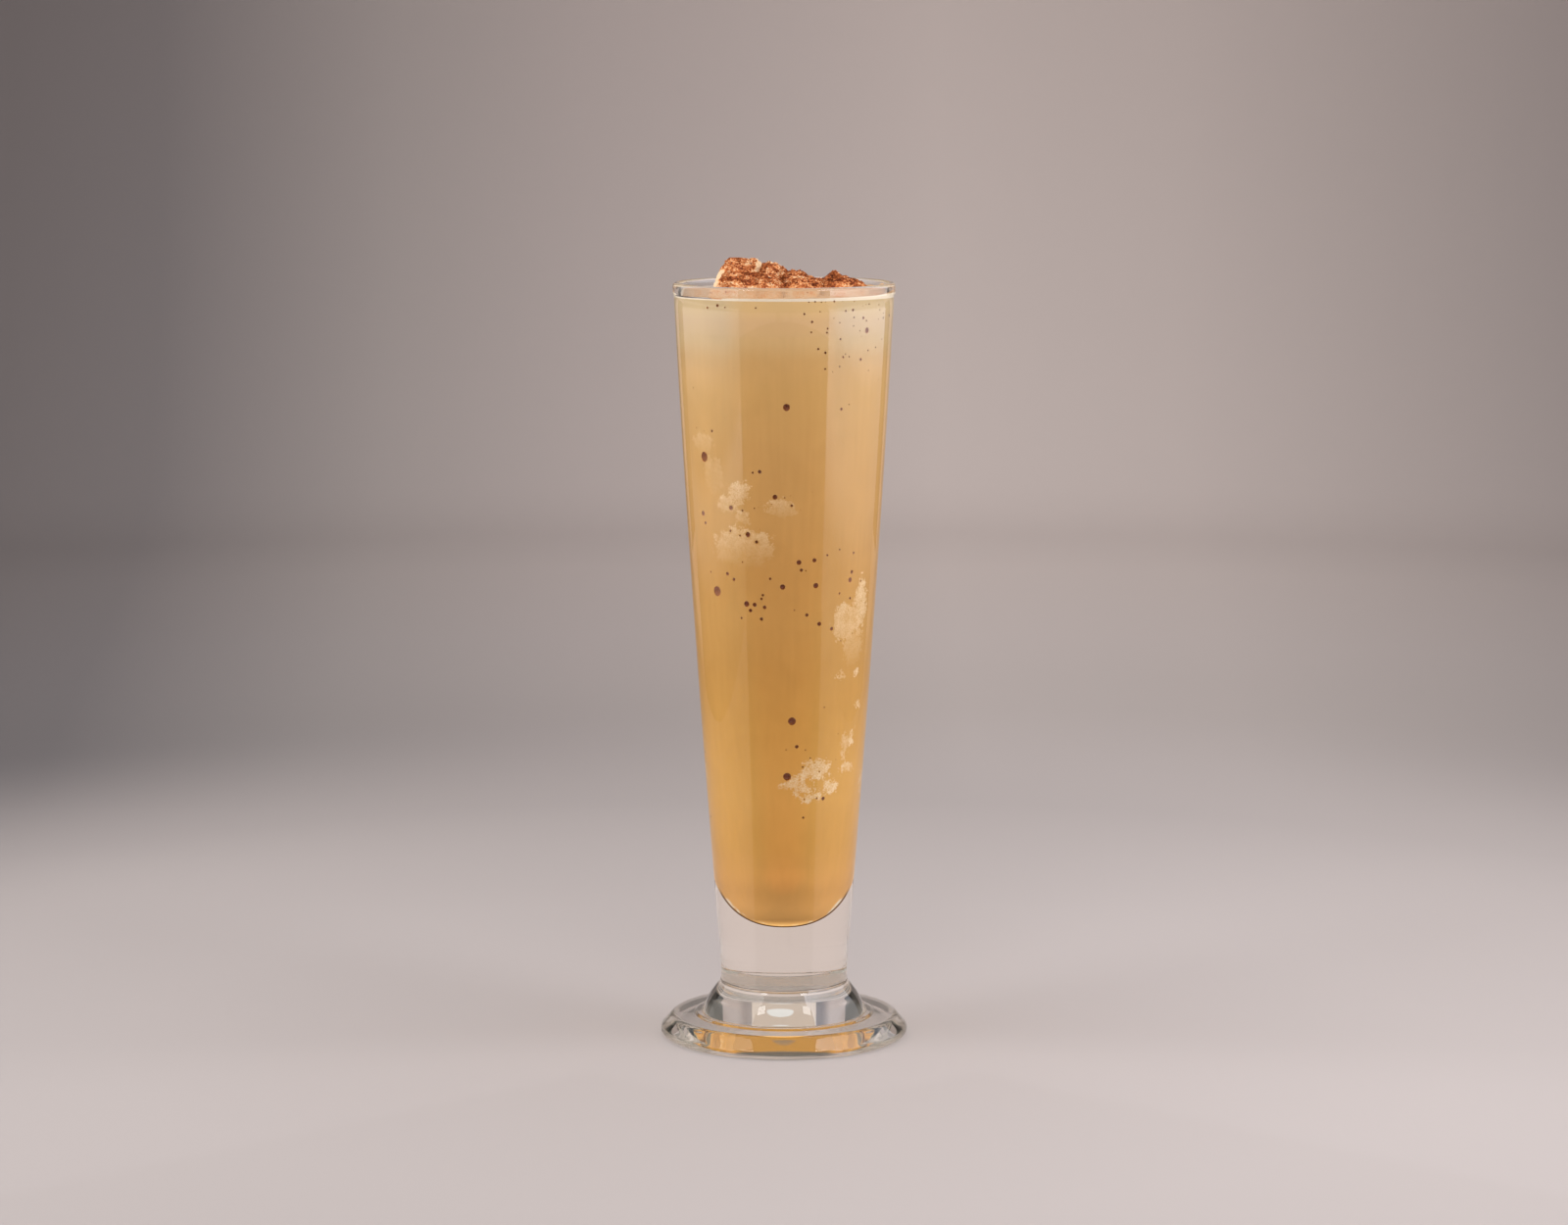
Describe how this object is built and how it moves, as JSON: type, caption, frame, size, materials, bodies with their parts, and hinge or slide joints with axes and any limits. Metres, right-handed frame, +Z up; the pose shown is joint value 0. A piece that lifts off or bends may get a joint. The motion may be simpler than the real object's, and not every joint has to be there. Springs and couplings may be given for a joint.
{
  "type": "frappe coffee in a footed glass",
  "caption": "Tall flared footed glass of iced frappe coffee, filled to just under the rim, topped with a craggy heap of cocoa-dusted froth.",
  "frame": {"origin": "under the middle of the foot, on the surface that the glass stands on", "axes": "+Z up along the glass's axis; the side shown in the picture faces -Y, with its right at +X"},
  "size_m": [0.0738, 0.0738, 0.2322],
  "materials": {
    "clear_glass": "clear, smooth and fire-polished",
    "milky_coffee": "opaque milky coffee, moist, with small bubbles and paler patches",
    "cocoa_froth": "matt craggy froth under a mottled dusting of cocoa"
  },
  "bodies": {
    "root": {"glass": "clear_glass", "coffee": "milky_coffee", "froth": "cocoa_froth"}
  },
  "joints": []
}
